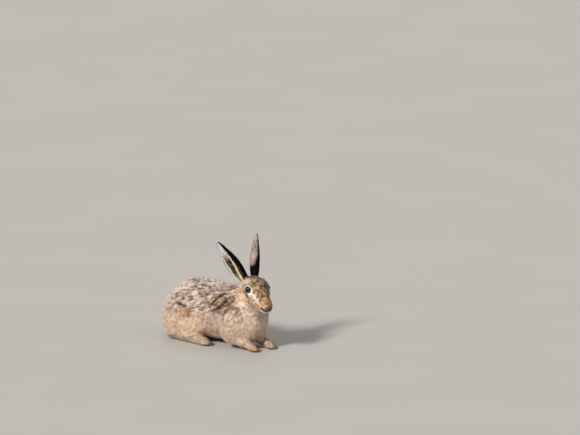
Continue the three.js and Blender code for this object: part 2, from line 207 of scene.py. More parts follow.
def drawn_on(made, lines, at):
    """The values with each line laid over them: a frame, a path, its half width and strength.

    The body's coat is deep, so a line of the body's counts its distance across it less.
    """
    for where, path, wide, strength, value in lines:
        scale = (1, 0.2, 1) if where == "hare" else (1, 1, 1)
        near = distance_to(at[where] * scale, np.array(path, float) * scale)
        made = mixed(made, np.array(value), strength * smooth_step(1.4 * wide, 0.5 * wide, near))
    return made


# Coat: how deep it is, how long and wide its tufts are, and how many grow on a square millimetre

BODY_COAT = (9, 18, 1.05, 0.8)
COAT = [
    ("hare", (0, 0, 4), (130, 48, 22), 0.3, 1, (6.5, 16, 1.2, 0.45)),
    ("hare", (112, 0, 62), (40, 40, 50), 0.4, 1, (9, 19, 1.0, 0.85)),
    ("hare", (-45, 60, 36), (38, 20, 34), 0.4, 1, (7, 15, 1, 0.8)),
    ("hare", (-108, 50, 18), (34, 24, 24), 0.3, 1, (5.5, 11, 0.9, 1)),
    ("hare", (104, 30, 22), (36, 20, 26), 0.4, 1, (5, 10.5, 0.85, 1.2)),
    ("hare", (-160, 3, 42), (30, 20, 50), 0.3, 1, (6, 19, 1.1, 0.85)),
    ("hare", (-45, 54, 6), (92, 26, 19), 0.25, 1, (3, 7.5, 0.7, 1.4)),
    ("hare", (132, 27, 6), (34, 20, 19), 0.25, 1, (2.4, 6, 0.6, 2)),
    ("head", (-60, 0, -3), (62, 42, 40), 0.3, 1, (4.2, 8.4, 0.6, 3)),
    ("head", (-74, 28, -14), (28, 16, 22), 0.4, 1, (5.4, 9.4, 0.65, 2.7)),
    ("head", (-52, 0, 26), (30, 17, 15), 0.4, 1, (3, 6.4, 0.5, 3.8)),
    ("head", (-26, 0, 0), (30, 22, 24), 0.3, 1, (2, 4.6, 0.42, 5)),
    ("eye", (1, 0, 8), (17, 15, 14), 0.3, 1, (1.4, 3.8, 0.36, 6)),
    ("head", (-6, 0, -5), (13, 13, 15), 0.4, 1, (0.8, 2.4, 0.3, 8)),
]


def coat_at(at):
    return laid_on(BODY_COAT, COAT, at)


# Markings: a colour, how strongly it is ticked with black, and how strongly it is streaked with it

def mark(where, centre, radii, soft, strength, code, tick, streak=0):
    return (where, centre, radii, soft, strength, (*paint(code), tick, streak))


def line(where, path, wide, strength, code, tick=0.3):
    return (where, path, wide, strength, (*paint(code), tick, 0))


BACK = (*paint("d6c1b2"), 1, 0.2)
MARKINGS = [
    mark("hare", (-150, 0, 64), (62, 100, 76), 0.5, 0.95, "f7dfc8", 0.5),
    mark("hare", (20, 80, 26), (200, 62, 50), 0.5, 1, "fbdcbf", 0.4, 0.1),
    mark("hare", (56, 50, 104), (40, 26, 22), 0.5, 0.9, "a37b58", 1, 0.6),
    mark("hare", (90, 36, 112), (18, 20, 16), 0.6, 0.8, "c3a07b", 0.8, 0.3),
    mark("hare", (-56, 66, 72), (20, 16, 14), 0.6, 0.7, "dba66c", 0.7, 0.3),
    mark("hare", (120, 0, 44), (52, 60, 50), 0.5, 1, "fbdfc3", 0.3, 0.1),
    mark("hare", (66, 32, 130), (38, 32, 20), 0.5, 0.85, "ab8d76", 1, 0.35),
    mark("hare", (0, 0, 0), (150, 46, 30), 0.3, 1, "f8f1e8", 0),
    mark("hare", (-45, 54, 4), (96, 28, 24), 0.4, 1, "ecd0b4", 0.3),
    mark("hare", (132, 27, 4), (38, 22, 24), 0.4, 1, "ebcaa9", 0.25),
    mark("tail", (34, 0, 0), (56, 22, 24), 0.1, 1, "f7f4ef", 0),
    mark("tail", (32, 0, 20), (60, 11, 16), 0.25, 1, "1c1614", 0),
    mark("head", (-64, 0, -14), (27, 46, 40), 0.3, 0.95, "c9a685", 0.75),
    mark("head", (-62, 0, 22), (54, 22, 24), 0.4, 1, "9d7750", 0.95),
    mark("head", (-84, 19, 13), (9, 8, 7), 0.6, 0.8, "ecd9c2", 0.2),
    mark("head", (-102, 0, 14), (12, 20, 14), 0.5, 0.9, "2c2320", 0.4),
    mark("head", (-97, 24, 0), (11, 9, 13), 0.5, 0.8, "ead0b6", 0.2),
    mark("head", (-62, 31, -22), (24, 16, 15), 0.5, 0.9, "f4dabf", 0.45),
    mark("head", (-84, 29, -16), (6, 10, 18), 0.6, 0.6, "dfa872", 0.2),
    mark("head", (-45, 22, -20), (9, 8, 8), 0.6, 0.7, "c08c5c", 0.7),
    mark("head", (-28, 0, 14), (24, 12, 12), 0.5, 1, "a9825a", 0.75),
    mark("head", (-12, 9, 7), (10, 8, 6), 0.6, 0.75, "c4915f", 0.3),
    mark("head", (3, 0, 3), (10, 11, 9), 0.5, 1, "9a7352", 0.5),
    mark("head", (-20, 15, -5), (12, 9, 8), 0.6, 0.9, "d9a269", 0.35),
    mark("head", (-30, 13, -17), (9, 10, 9), 0.5, 0.85, "dba46a", 0.4),
    mark("head", (-25, 14.6, 5.6), (3, 4, 2.4), 0.6, 0.85, "34211a", 0),
    mark("eye", (1, -12.4, 5), (11, 2.6, 14), 0.3, 1, "2a1b14", 0),
    mark("eye", (1.7, 0.2, 5), (13.3, 10, 16), 0.12, 1, "fffaf2", 0),
    mark("head", (-10, 0, -15), (18, 13, 8), 0.35, 1, "f6f6f3", 0),
    mark("head", (-3, 5, -9.6), (12, 11, 3.8), 0.25, 1, "fbfbfb", 0),
    mark("head", (1, 3, -1.4), (5, 7, 3.2), 0.6, 0.8, "6b4c3a", 0.2),
    mark("head", (-52, 0, -36), (44, 26, 16), 0.4, 0.9, "d9cdbe", 0.3),
]
# Dark lines on the shoulder and over the eye, painted shade in the fold over the knee, and a pale
# one before the eye
LINES = [
    line("hare", [(22, 42, 102), (38, 41, 111), (47, 37, 120), (58, 32, 126)], 3.8, 1, "281b14"),
    line("hare", [(44, 48, 91), (59, 47, 101), (65, 45, 108), (69, 43, 114)], 4.8, 1, "1f1510"),
    line("hare", [(72, 48, 98), (82, 43, 108), (88, 36, 117)], 3.2, 0.95, "2e2018"),
    line("hare", [(16, 45, 81), (39, 47, 90), (50, 48, 93)], 2.8, 0.8, "3d2b20"),
    line("hare", [(54, 48, 84), (68, 49, 93), (78, 47, 99)], 2.6, 0.7, "e9c9a0"),
    line("hare", [(35, 44, 102), (49, 44, 110), (59, 40, 118), (71, 35, 123)], 2.6, 0.7, "e3c39c"),
    # Painted shade: the two dark lines in the fold where the thigh meets the flank over the knee.
    line("hare", [(-82, 61, 94), (-74, 61, 90), (-63, 61, 85), (-50, 59, 86)], 3.4, 0.95, "2c1e17"),
    line("hare", [(-49, 60, 82), (-40, 61, 76), (-40, 64, 66), (-51, 66, 60)], 2.4, 0.7, "4a3122"),
    line("head", [(-80, 20.8, 13.3), (-66.6, 19, 19.3), (-57, 17.7, 19.2)], 2.2, 0.8, "41291c"),
    line("head", [(-48, 24, -31), (-40, 18, -31), (-35, 14, -21)], 1.8, 0.55, "7a5236"),
    line("head", [(-51, 21, 9.5), (-38, 18, 4), (-28, 16.3, 3)], 4.2, 0.9, "ecd8c4", 0.2),
]
# The near-black of the nostril slit and the cleft is partly the nostril's dark skin and partly
# painted shade inside them and under the nose.
SLIT_SKIN_AND_SHADE = (*paint("0a0706"), 0, 0)
# How much lighter red, green and blue get in warm patches, in dull ones and along strands
WARMER, DARKER, STRANDS = (0.03, -0.04, -0.14), (-0.1, -0.1, -0.1), (0.2, 0.26, 0.32)


def nostril_width(head):
    """Half the width of the dark slit, partly the nostril's dark skin and partly painted shade,
    which is thin under the tip of the nose.
    """
    return 1 + 1.7 * smooth_step(2, 8, np.abs(head[:, 1]))


def markings_at(points):
    """The colour and ticking of the coat at each point, with ragged edges to the marks."""
    ragged, fine = drift(points, 9, 1), drift(points, 3, 4)
    head = on_left(to_head(points))
    near_face = smooth_step(-110, -80, head[:, 0])
    wobble = mixed(4 * ragged + 2 * fine, 0.5 * ragged + 0.5 * fine, near_face)
    at = places(points + wobble)
    made = drawn_on(laid_on(BACK, MARKINGS, at), LINES, at)
    low = smooth_step(84, 60, points[:, 2]) * smooth_step(14, 30, points[:, 2])
    warm = noise(points * (1, 1, 0.35), 6, 13)[:, None] * (1 - 0.5 * near_face)[:, None]
    strand = (noise(points * (1, 1, 0.22), 3.4, 16) * low)[:, None]
    made[:, :3] *= 1 + warm.clip(0) * WARMER - warm.clip(None, 0) * DARKER
    made[:, :3] *= 1 + strand * STRANDS
    # Dark skin and painted shade along the nostril and the cleft
    slit = smooth_step(1.25, 0.8, distance_to(head, NOSTRIL) / nostril_width(head))
    slit = np.maximum(slit, 0.8 * smooth_step(0.9, 0.4, distance_to(head, CLEFT)))
    return mixed(made, np.array(SLIT_SKIN_AND_SHADE), slit)


# How the coat lies

# On the upper arm and on the feet: a soft ellipsoid, its outer and inner edge, and the way there
LIMB_WAYS = [
    ((82, 36, 36), (36, 26, 34), (1.3, 0.7), (-0.2, 0, -1)),
    ((-45, 54, 4), (96, 28, 22), (1.25, 0.85), (1, 0, -0.15)),
    ((132, 27, 4), (38, 22, 22), (1.25, 0.85), (1, 0, -0.15)),
]


def toward(points, normals):
    """The direction in which the hair lies at each point, along the surface."""
    at = places(points)
    hare, eye, head = at["hare"], at["eye"], to_head(points)
    way = np.tile([-1.0, 0.0, -0.22], (len(points), 1))
    way[:, 2] -= 0.45 * np.abs(normals[:, 1])
    way = mixed(way, np.array([-0.4, 0, -1]), smooth_step(-95, -160, hare[:, 0]))
    chest = smooth_step(85, 125, hare[:, 0]) * smooth_step(120, 85, hare[:, 2])
    way = mixed(way, np.array([-0.3, 0, -1]), chest)
    for centre, radii, edge, there in LIMB_WAYS:
        share = smooth_step(*edge, from_middle(hare, centre, radii))
        way = mixed(way, np.array(there), share)
    back = np.tile([-1.0, 0.0, 0.0], (len(points), 1))
    back[:, 1] += 0.012 * head[:, 1]
    back[:, 2] += 0.016 * np.clip(head[:, 2], -30, 12)
    outward = unit(eye * (1, 1, 0)) @ EYE_FRAME
    outward[:, 1] *= np.where(head[:, 1] < 0, -1.0, 1.0)
    near = smooth_step(20, 9, from_middle(eye * (1, 1, 0.7), (0, 0, 6), 1))
    back += outward * (1.6 * near)[:, None]
    of_head = smooth_step(-112, -78, head[:, 0]) * smooth_step(-48, -30, head[:, 2])
    way = mixed(unit(way), unit(back) @ HEAD, of_head)
    swirl = drift(points, 26, 7)
    way += mixed(0.25 * swirl, 0.1 * swirl, of_head)
    way -= normals * (way * normals).sum(1, keepdims=True)
    return unit(way)


# Meshes

def numbers(items, name, width, kind=np.float32):
    found = np.empty(len(items) * width, kind)
    items.foreach_get(name, found)
    return found.reshape(-1, width).astype(float if kind is np.float32 else int)


def make_mesh(name, points, faces):
    mesh = bpy.data.meshes.new(name)
    count, sides = faces.shape
    mesh.vertices.add(len(points))
    mesh.vertices.foreach_set("co", np.asarray(points, np.float32).ravel())
    mesh.loops.add(count * sides)
    mesh.loops.foreach_set("vertex_index", faces.astype(np.int32).ravel())
    mesh.polygons.add(count)
    mesh.polygons.foreach_set("loop_start", np.arange(0, count * sides, sides, dtype=np.int32))
    mesh.update(calc_edges=True)
    mesh.shade_smooth()
    return mesh


def arrays_of(mesh):
    mesh.calc_loop_triangles()
    faces = numbers(mesh.loop_triangles, "vertices", 3, np.int32)
    return numbers(mesh.vertices, "co", 3), faces


def make_piece(name, points, faces, material, slot, replaced=(), colours=None, gaze=None):
    """Makes an object of the hare from millimetres, under the root's empty, and hides the solids it
    replaces.
    """
    mesh = make_mesh(name, np.asarray(points) * MM, faces)
    if colours is not None:
        layer = mesh.color_attributes.new("fur", "FLOAT_COLOR", "POINT")
        full = np.concatenate([colours, np.ones((len(colours), 1))], 1)
        layer.data.foreach_set("color", full.astype(np.float32).ravel())
    if gaze is not None:
        layer = mesh.attributes.new("gaze", "FLOAT_VECTOR", "POINT")
        layer.data.foreach_set("vector", gaze.astype(np.float32).ravel())
    mesh.materials.append(material)
    piece = placed(name, mesh)
    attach(piece, "root")
    if replaced:
        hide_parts(*replaced)
    return piece


def summed(index, values, count):
    return np.stack([np.bincount(index, v, count) for v in values.T], 1)


def normals_at(points, faces):
    a, b, c = (points[faces[:, n]] for n in range(3))
    across = np.cross(b - a, c - a)
    return unit(sum(summed(faces[:, n], across, len(points)) for n in range(3)))


def edges_of(faces):
    pairs = np.concatenate([faces[:, [0, 1]], faces[:, [1, 2]], faces[:, [2, 0]]])
    return np.unique(np.sort(pairs, axis=1), axis=0)


def smoothed(values, edges, rounds, share=0.6):
    """The values after each has moved toward the mean of its neighbours, in several rounds.

    share is one number or one for each point, and rounds is the most that any point gets.
    """
    i, j = edges.T
    count = np.bincount(edges.ravel(), minlength=len(values))[:, None]
    share = np.broadcast_to(np.reshape(share, (-1, 1)), (len(values), 1))
    for _ in range(rounds):
        mean = (summed(i, values[j], len(values)) + summed(j, values[i], len(values))) / count
        values = values + share * (mean - values)
    return values


def largest(points, faces):
    """Only the largest connected surface."""
    i, j = edges_of(faces).T
    label = np.arange(len(points))
    while True:
        low = np.minimum(label[i], label[j])
        new = label.copy()
        np.minimum.at(new, i, low)
        np.minimum.at(new, j, low)
        new = new[new]
        if (new == label).all():
            break
        label = new
    kept = label == np.bincount(label).argmax()
    place = np.cumsum(kept) - 1
    return points[kept], place[faces[kept[faces[:, 0]]]]


def solid_of(node):
    """A CAD node's corners in millimetres, each one once, and its triangles."""
    points, faces = arrays_of(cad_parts[node].data)
    points, same = np.unique((points / MM).round(3), axis=0, return_inverse=True)
    return points, same.reshape(-1)[faces]


def joined(parts):
    """Several surfaces as one list of points and one of faces."""
    points, faces, start = [], [], 0
    for some, theirs in parts:
        points.append(some)
        faces.append(theirs + start)
        start += len(some)
    return np.concatenate(points), np.concatenate(faces)


def tube_faces(count, sides, closed=False):
    """The faces between rings of points, and between the last and the first if it is closed."""
    row, col = np.meshgrid(np.arange(count if closed else count - 1), np.arange(sides),
                           indexing="ij")
    after, beside = (row + 1) % count, (col + 1) % sides
    a, b = row * sides + col, row * sides + beside
    c, d = after * sides + beside, after * sides + col
    return np.stack([a, b, c, a, c, d], -1).reshape(-1, 3)


def arrays_from(work):
    """The points and triangles of a bmesh, which is freed."""
    bmesh.ops.triangulate(work, faces=work.faces)
    made = bpy.data.meshes.new("work")
    work.to_mesh(made)
    work.free()
    return arrays_of(made)


def ball(rings=24, around=32):
    """A ball of radius 1 round the origin."""
    work = bmesh.new()
    bmesh.ops.create_uvsphere(work, u_segments=around, v_segments=rings, radius=1)
    return arrays_from(work)


# Skin

VOXEL = 1.7
PUSH = 0.45  # closes the thin cuts between the solids
LID_BALL = 11
SINK = (-95, 0, 140), (85, 80, 36), 4.0  # where the skin lies deeper, how far around, and how much
# How far out the skin stands round each eye, by the distance from the eye's axis
MOUND = np.array([(8, 5.6), (11, 4.3), (13, 3), (16, -0.4), (22, -6)])
MOUND_LIMIT = 4.5  # the most that this adds
MOUND_EDGE, MOUND_BACK = (23, 14), (-22, -13)  # where it fades, from the eye's axis and behind it
LID_RISE = 0.5  # how far the rim of the lids stands over the eyeball
BEHIND_LIDS = 1.4  # how deep the skin runs inside the eyeball
LIDS_REACH = 22  # the skin is opened no farther than this from the middle of the eye
# Grooves and a ridge over the nostril: the path, half the width and the depth
CARVINGS = [
    (LIP, 1.2, 0.9), (CLEFT, 1.1, 1.1), (NOSTRIL + (0, 0, 3), 2.6, -0.9), (NOSTRIL, 2.2, 2.8)]
BODY_ROUNDS, HEAD_ROUNDS = 40, 5


def remeshed(points, faces, size):
    """One surface round overlapping bodies."""
    holder = placed("remesh", make_mesh("remesh", points, faces))
    wrap = holder.modifiers.new("wrap", "REMESH")
    wrap.mode = "VOXEL"
    wrap.voxel_size = size
    found = holder.evaluated_get(bpy.context.evaluated_depsgraph_get())
    made = arrays_of(found.data)
    bpy.data.objects.remove(holder)
    return made


def finer(points, faces, chosen):
    """Cuts every edge in half whose two ends are chosen."""
    work = bmesh.new()
    work.from_mesh(make_mesh("finer", points, faces))
    work.verts.ensure_lookup_table()
    inside = [e for e in work.edges if chosen[e.verts[0].index] and chosen[e.verts[1].index]]
    bmesh.ops.subdivide_edges(work, edges=inside, cuts=1, use_grid_fill=True)
    return arrays_from(work)


def face_region(points):
    """Where the skin needs its finest faces: round the eyes, the nose and the mouth."""
    at = places(points)
    eye = from_middle(at["eye"], (0, 0, 8), 1) < 17
    return eye | (from_middle(at["head"], (-10, 0, -6), (20, 17, 16)) < 1)


def bare_skin():
    """The surface under the coat, before its eyes and mouth are opened."""
    parts = []
    for node in FLESH:
        points, faces = solid_of(node)
        parts.append((points + PUSH * normals_at(points, faces), faces))
    points, faces = ball()
    parts += [(points * LID_BALL + middle_of(node), faces) for node in ("eye_left", "eye_right")]
    points, faces = largest(*remeshed(*joined(parts), VOXEL))
    edges = edges_of(faces)
    fine = np.maximum(smooth_step(-100, -70, to_head(points)[:, 0]),
                      smooth_step(34, 24, points[:, 2]))
    points = smoothed(points, edges, BODY_ROUNDS, 0.6 * (1 - fine))
    points = smoothed(points, edges, HEAD_ROUNDS, 0.6 * fine)
    middle, around, most = SINK
    sunk = most * smooth_step(1.2, 0.6, from_middle(points, middle, around))
    depth = coat_at(places(points))[:, :1] + PUSH + sunk[:, None]
    inward = unit(smoothed(normals_at(points, faces), edges, 6))
    points = points - inward * smoothed(depth, edges, 4)
    points = smoothed(points, edges, 3, 0.5)
    for _ in range(2):
        points, faces = finer(points, faces, face_region(points))
        region = face_region(points).astype(float)
        points = smoothed(points, edges_of(faces), 3, 0.5 * region)
    return points, faces


def across_lids(flat):
    """How far a place is from the eye's axis, where 1 is the rim of the lids."""
    wide, above, below = LID_OPENING
    high = np.where(flat[:, 1] > 0, above, below)
    return np.hypot(flat[:, 0] / wide, flat[:, 1] / high)


def around_lids(eye):
    """The same for places out of the eyeball's surface, and far for those behind the eye."""
    return across_lids(EYE_RADIUS * unit(eye)) + 10 * (eye[:, 2] < 0)


def into_eye(points):
    """Each point in the frame of the eye on its side, and what mirrors that side."""
    head = to_head(points)
    flip = np.where(head[:, 1:2] < 0, -1.0, 1.0) * (0, 1, 0) + (1, 0, 1)
    return (head * flip - EYE_SEAT) @ EYE_FRAME.T, flip


def from_eye(points, flip):
    """Points of an eye's own frame in the hare's."""
    return from_head((points @ EYE_FRAME + EYE_SEAT) * flip)


def raised_eyes(points):
    """The skin raised into a low mound round each eye."""
    eye, flip = into_eye(points)
    far = np.linalg.norm(eye[:, :2], axis=1)
    gap = (np.interp(far, *MOUND.T) - eye[:, 2]).clip(0)
    share = smooth_step(*MOUND_EDGE, far) * smooth_step(*MOUND_BACK, eye[:, 2])
    eye[:, 2] += MOUND_LIMIT * np.tanh(gap / MOUND_LIMIT) * share
    return from_eye(eye, flip)


def opened_eyes(points):
    """The skin drawn over each eyeball as lids, and behind it inside their opening."""
    eye, flip = into_eye(points)
    ratio, flat = around_lids(eye), across_lids(eye[:, :2])
    size = np.linalg.norm(eye, axis=1)
    lid = EYE_RADIUS + LID_RISE * (1 + smooth_step(1, 1.15, ratio))
    target = np.maximum(size + (lid - size) * smooth_step(1.45, 1.08, flat), lid)
    target += (EYE_RADIUS - BEHIND_LIDS - target) * smooth_step(1.0, 0.9, ratio)
    near = (eye[:, 2] > 0) & (size < LIDS_REACH)
    moved = from_eye(eye * (target / size)[:, None], flip)
    return np.where(near[:, None], moved, points)


def carved(points, faces, path, width, depth):
    """The skin with a groove on each side along a path, or with a ridge at minus depth."""
    near = distance_to(places(points)["head"], path)
    share = np.clip(1 - (near / width) ** 2, 0, 1) ** 2
    return points - normals_at(points, faces) * (depth * share)[:, None]


def skin_surface():
    points, faces = bare_skin()
    points = raised_eyes(points)
    for path, width, depth in CARVINGS:
        points = carved(points, faces, path, width, depth)
    return opened_eyes(points), faces


# Tufts

TUFT_PATCH = 0.003
LONG_TUFT = 9.5  # longer tufts are bent in the middle
DEEP = paint("4a3a30")
BLACK, CREAM = paint("1a1311"), paint("f3e0cd")
BRIGHTEST = 0.93
FLOW = np.array([(0.89, 0, 0.45), (-0.45, 0, 0.89), (0, 1, 0)])  # streaks run along its first row
# Layers of noise: how much each is squeezed along the flow, its size, its seed and its strength
BODY_FLECKS = [((1.15, 1, 1), 2.6, 11, 1), ((1, 1, 1), 6, 12, 0.5)]
FACE_FLECKS = [((0.7, 1, 1), 1.4, 18, 0.6), ((0.8, 1, 1), 4.2, 19, 0.65)]
STREAKS = [((0.25, 1, 0.8), 5.5, 14, 1), ((0.5, 1, 1), 2.4, 15, 0.35)]
CLUMP, SHORT_CLUMP = 6.2, 2.6  # of long tufts and of short ones
SHARE_GROWN = 1
# The mean of the factor, how much it differs by clump and by tuft, and its limits
LENGTHS, LIFTS = (1, 0.1, 0.15, 0.6, 1.4), (0.92, 0.06, 0.1, 0.6, 1.15)
ROOTED = 0.8  # how deep a tuft stands in the skin
UNDER_COAT, UNDER_EARS = 0.85, 0.8  # the skin's brightness beside its coat's
LOWEST = 0.8  # a tuft's tip over the floor
TUFT_THICK = 0.45  # as a share of its width
TURNS = (0.13, 0.12)  # how much tufts turn aside, by clump and each by itself
BEND_LIFT = 0.72  # how high the bend of a long tuft is, as a share of its tip's height
GATHERED = (0.28, 0.1)  # how far the tips and the bends of a clump are drawn together
COLOURED_AT = (0.65, 0.9)  # where along a tuft the colours of its middle and its tip are taken
BARE_LIDS, BARE_SOLE, BARE_NOSTRIL = 1.06, 1, 0.75  # how far from each the coat begins
FACING_OUT = 1.3  # how much a tuft is shaded as the skin under it, as soft hair is


def unwrapped(points, faces):
    """An unwrap of a part of the skin's own shape: a place on it for each face's corners."""
    used, renamed = np.unique(faces, return_inverse=True)
    mesh = make_mesh("unwrap", points[used], renamed.reshape(faces.shape))
    holder = placed("unwrap", mesh)
    bpy.context.view_layer.objects.active = holder
    holder.select_set(True)
    mesh.uv_layers.new(name="unwrap")
    bpy.ops.object.mode_set(mode="EDIT")
    bpy.ops.mesh.select_all(action="SELECT")
    bpy.ops.uv.smart_project(angle_limit=1.15, island_margin=0.004, scale_to_bounds=True)
    bpy.ops.object.mode_set(mode="OBJECT")
    found = numbers(mesh.uv_layers["unwrap"].uv, "vector", 2).reshape(-1, 3, 2)
    bpy.data.objects.remove(holder)
    return found


def scattered(points, faces, density, rng):
    """Random places spread evenly on the faces: the face of each, and its shares of the corners."""
    a, b, c = (points[faces[:, n]] for n in range(3))
    area = np.linalg.norm(np.cross(b - a, c - a), axis=1) / 2
    weight = np.cumsum(area * density)
    count = int(weight[-1])
    face = np.searchsorted(weight, (np.arange(count) + rng.random(count)) / count * weight[-1])
    face = face.clip(0, len(faces) - 1)
    u, v = rng.random((2, count))
    over = u + v > 1
    u[over], v[over] = 1 - u[over], 1 - v[over]
    return face, np.stack([1 - u - v, u, v], 1)


def at_corners(values, faces, face, shares):
    return np.einsum("nk,nkd->nd", shares, values[faces[face]])


def on_skin(tree, points, height):
    """Each point moved to a height over the nearest skin, and the direction away from the skin."""
    spots, ways = np.empty_like(points), np.empty_like(points)
    for n, point in enumerate(points.tolist()):
        spots[n], ways[n] = tree.find_nearest(point)[:2]
    return spots + ways * height[:, None], ways


def ticking(points, marks, clump=0):
    """From pale (-1) to black (1): flecks and streaks of black-tipped hair among pale ones."""
    flow = points @ FLOW.T
    body, face, streak = (
        sum(strength * noise(flow * stretch, size, seed) for stretch, size, seed, strength in layers)
        for layers in (BODY_FLECKS, FACE_FLECKS, STREAKS))
    of_head = smooth_step(-105, -85, to_head(points)[:, 0])
    fleck = body + (face - body) * of_head + 0.15 * clump
    dark = np.maximum(marks[:, 3] * smooth_step(-0.04, 0.32, fleck),
                      marks[:, 4] * smooth_step(0.05, 0.4, streak))
    return dark - marks[:, 3] * smooth_step(-0.02, -0.5, fleck)


def tuft_colours(middle, tip, clump, rng):
    """The colours of each tuft at its root, its middle and its tip.

    The middle and the tip are each given as the marks at a place and the place itself.
    """
    count = len(clump)
    own = rng.normal(0, 0.2, count)
    tint = 1 + rng.normal(0, 0.1, (count, 1)) + 0.05 * clump[:, None]
    shades = []
    for (marks, there), bright in ((middle, 1.0), (tip, 1.12)):
        tick = np.clip(ticking(there, marks, clump) + marks[:, 3] * own, -1, 1)
        pale = (-tick).clip(0)
        shade = mixed(marks[:, :3], CREAM, 0.3 * pale) * bright * tint * (1 + 0.4 * pale)[:, None]
        shades.append(mixed(shade, BLACK, 0.95 * tick.clip(0)))
    ticked = middle[0][:, 3].clip(0, 1)
    root = mixed(shades[0] * (1 - 0.45 * ticked)[:, None], DEEP, 0.4 * ticked)
    made = np.stack([root, *shades], 1)
    return made / np.maximum(made.max(2, keepdims=True) / BRIGHTEST, 1)


# The faces of a tuft: three-sided, bent at its middle ring, or straight
BENT = np.array([
    (0, 5, 2), (0, 3, 5), (2, 4, 1), (2, 5, 4), (1, 3, 0), (1, 4, 3),
    (3, 6, 5), (5, 6, 4), (4, 6, 3), (0, 2, 1)])
BENT_PATCH = np.array([(0, 0), (1, 0), (0.5, 0.08), (0, 0.6), (1, 0.6), (0.5, 0.6), (0.5, 1)])
STRAIGHT = np.array([(0, 3, 2), (2, 3, 1), (1, 3, 0), (0, 2, 1)])
STRAIGHT_PATCH = np.array([(0, 0), (1, 0), (0.5, 0.08), (0.5, 1)])


def ring(middle, side, up, width, thick):
    return [middle - side * width / 2, middle + side * width / 2, middle + up * thick]


def tuft_arrays(root, bend, tip, side, up, up_there, width, colours, uv, bent):
    """Points, faces, colours, OFBake places and directions out of the skin, of one kind's tufts."""
    thick = TUFT_THICK * width
    rings = ring(root, side, up, width, thick)
    shades = [colours[:, 0]] * 3
    if bent:
        rings += ring(bend, side, up_there, 0.85 * width, 0.8 * thick)
        shades += [colours[:, 1]] * 3
        faces, patch = BENT, BENT_PATCH
    else:
        shades = [0.45 * colours[:, 0] + 0.55 * colours[:, 1]] * 3
        faces, patch = STRAIGHT, STRAIGHT_PATCH
    points = np.stack(rings + [tip], 1)
    shades = np.stack(shades + [colours[:, 2]], 1)
    each = points.shape[1]
    start = each * np.arange(len(root))[:, None, None]
    places_there = uv[:, None] + TUFT_PATCH * (patch - 0.5)
    return (points.reshape(-1, 3), (faces + start).reshape(-1, 3), shades.reshape(-1, 3),
            places_there.reshape(-1, 2), np.repeat(up, each, axis=0))


def coat_piece(name, slot, material, kinds):
    """One object from the arrays of several kinds of tuft."""
    points, faces = joined([kind[:2] for kind in kinds])
    colours, uv, out = (np.concatenate([kind[n] for kind in kinds]) for n in (2, 3, 4))
    piece = make_piece(name, points, faces, material, slot, colours=colours)
    layer = piece.data.uv_layers.new(name="OFBake")
    layer.uv.foreach_set("vector", uv.clip(0, 1)[faces.ravel()].astype(np.float32).ravel())
    own = numbers(piece.data.vertex_normals, "vector", 3)
    piece.data.normals_split_custom_set_from_vertices(unit(own + FACING_OUT * out))


def varied(spread, of_clump, rng):
    """Factors that differ from clump to clump and from tuft to tuft."""
    mean, by_clump, alone, low, high = spread
    return np.clip(mean + by_clump * of_clump + rng.normal(0, alone, len(of_clump)), low, high)


def grow(name, slot, material, tree, skin, chosen, seed):
    """The coat on the chosen faces of the skin."""
    rng = np.random.default_rng(SEED + seed)
    points, faces, normals = skin
    theirs = faces[chosen]
    centre = points[theirs].mean(1)
    density = coat_at(places(centre))[:, 3] * SHARE_GROWN
    face, shares = scattered(points, theirs, density, rng)
    uv = np.einsum("nk,nkd->nd", shares, unwrapped(points, theirs)[face])
    root = at_corners(points, theirs, face, shares)
    up = unit(at_corners(normals, theirs, face, shares))
    at = places(root)
    kept = (around_lids(at["eye"]) > BARE_LIDS) & (root[:, 2] > BARE_SOLE)
    kept &= distance_to(at["head"], NOSTRIL) > BARE_NOSTRIL * nostril_width(at["head"])
    root, up, uv = root[kept], up[kept], uv[kept]
    depth, length, width, _ = coat_at(places(root)).T
    count = len(root)
    long = length > LONG_TUFT
    size = np.where(long, CLUMP, SHORT_CLUMP)[:, None]
    wander = root + 2.5 * drift(root, 8, 21)
    cell = np.floor(wander / size + 500).astype(np.int64) @ (1, 1000, 1000000) * 2 + long
    clump = np.unique(cell, return_inverse=True)[1].reshape(-1)
    of_clump = rng.normal(0, 1, (clump.max() + 1, 3))[clump]
    way = toward(root, up)
    side = unit(np.cross(up, way))
    way = unit(way + side * (TURNS[0] * of_clump[:, :1] + rng.normal(0, TURNS[1], (count, 1))))
    side = unit(np.cross(up, way))
    length = length * varied(LENGTHS, of_clump[:, 1], rng)
    lift = depth * varied(LIFTS, of_clump[:, 2], rng)
    width = width * rng.uniform(0.7, 1.25, count)
    bend, tip, up_there = root.copy(), root.copy(), up.copy()
    bend[long], up_there[long] = on_skin(
        tree, (root + way * (0.5 * length)[:, None])[long], (BEND_LIFT * lift)[long])
    tip[long] = on_skin(tree, (root + way * length[:, None])[long], lift[long])[0]
    short = ~long
    tip[short] = (root + way * (0.93 * length)[:, None] + up * lift[:, None])[short]
    together = summed(clump, tip, clump.max() + 1) / np.bincount(clump)[:, None]
    pull = (side * (together[clump] - tip)).sum(1, keepdims=True) * side
    tip += GATHERED[0] * pull
    bend += GATHERED[1] * pull
    for end in (tip, bend):
        end[:, 2] = np.maximum(end[:, 2], LOWEST)
    seen = [root + share * (tip - root) for share in COLOURED_AT]
    colours = tuft_colours(*((markings_at(there), there) for there in seen), of_clump[:, 1], rng)
    root = root - up * ROOTED
    kinds = [
        tuft_arrays(root[which], bend[which], tip[which], side[which], up[which],
                    up_there[which], width[which, None], colours[which], uv[which], bent)
        for which, bent in ((long, True), (short, False)) if which.any()]
    coat_piece(name, slot, material, kinds)


# Materials

